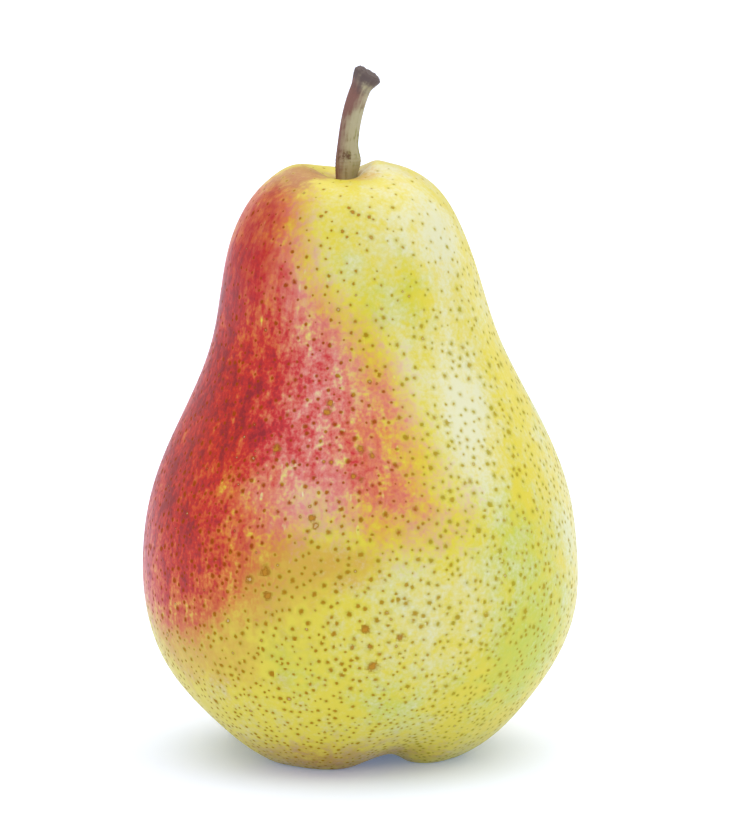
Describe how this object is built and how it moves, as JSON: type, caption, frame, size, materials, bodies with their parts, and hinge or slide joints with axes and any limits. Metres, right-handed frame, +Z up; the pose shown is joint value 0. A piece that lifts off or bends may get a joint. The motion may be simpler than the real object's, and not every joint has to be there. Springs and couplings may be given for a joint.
{
  "type": "pear",
  "caption": "Ripe pear standing upright on its lobes, with a bent woody stem in the hollow on top and a dried calyx underneath.",
  "frame": {"origin": "on the table, under the middle of the pear's box", "axes": "+Z up along the pear from calyx to stem; -Y is the side that the picture shows, with +X to its right"},
  "size_m": [0.0704, 0.0696, 0.1115],
  "materials": {
    "skin": "satin, waxy natural fruit skin, yellow-green with a red blush on one side",
    "bark": "dull, fibrous green-brown bark",
    "withered_sepals": "dull, dry and withered"
  },
  "bodies": {
    "root": {"fruit": "skin", "stem": "bark", "calyx": "withered_sepals"}
  },
  "joints": []
}
